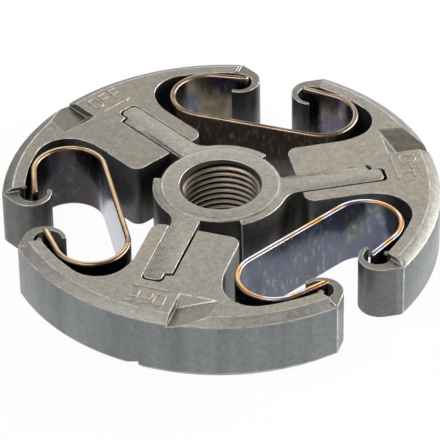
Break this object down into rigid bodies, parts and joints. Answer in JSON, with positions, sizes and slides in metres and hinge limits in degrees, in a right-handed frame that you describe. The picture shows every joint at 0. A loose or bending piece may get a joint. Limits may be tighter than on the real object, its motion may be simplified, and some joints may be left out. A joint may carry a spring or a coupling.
{
  "type": "centrifugal clutch",
  "caption": "Chainsaw centrifugal clutch: sintered shoes slide out along the arms of a threaded hub and are drawn back by flat C-shaped springs.",
  "frame": {"origin": "middle of the threaded bore, on the clutch axis at half thickness", "axes": "+Z along the clutch axis, out of the face with the pry notches; +X along the first arm of the hub"},
  "size_m": [0.0633, 0.0639, 0.0109],
  "materials": {
    "hub_steel": "fine sintered grain, turned boss faces",
    "sintered_steel": "matte sintered grain with lighter ground edges",
    "spring_steel": "tempered strip, straw to blue tints"
  },
  "bodies": {
    "hub": {"hub": "hub_steel", "spring_1": "spring_steel", "spring_2": "spring_steel", "spring_3": "spring_steel"},
    "shoe_1": {"shoe_1": "sintered_steel"},
    "shoe_2": {"shoe_2": "sintered_steel"},
    "shoe_3": {"shoe_3": "sintered_steel"}
  },
  "joints": [
    {"name": "shoe_1_slide", "type": "slide", "parent": "hub", "child": "shoe_1", "axis": [1, 0, 0], "range_m": [0, 0.001], "stiffness_N_per_m": 1000, "springref_m": -0.0005, "deforming": ["spring_1", "spring_3"]},
    {"name": "shoe_2_slide", "type": "slide", "parent": "hub", "child": "shoe_2", "axis": [-0.5, 0.866, 0], "range_m": [0, 0.001], "stiffness_N_per_m": 1000, "springref_m": -0.0005, "deforming": ["spring_1", "spring_2"]},
    {"name": "shoe_3_slide", "type": "slide", "parent": "hub", "child": "shoe_3", "axis": [-0.5, -0.866, 0], "range_m": [0, 0.001], "stiffness_N_per_m": 1000, "springref_m": -0.0005, "deforming": ["spring_2", "spring_3"]}
  ]
}
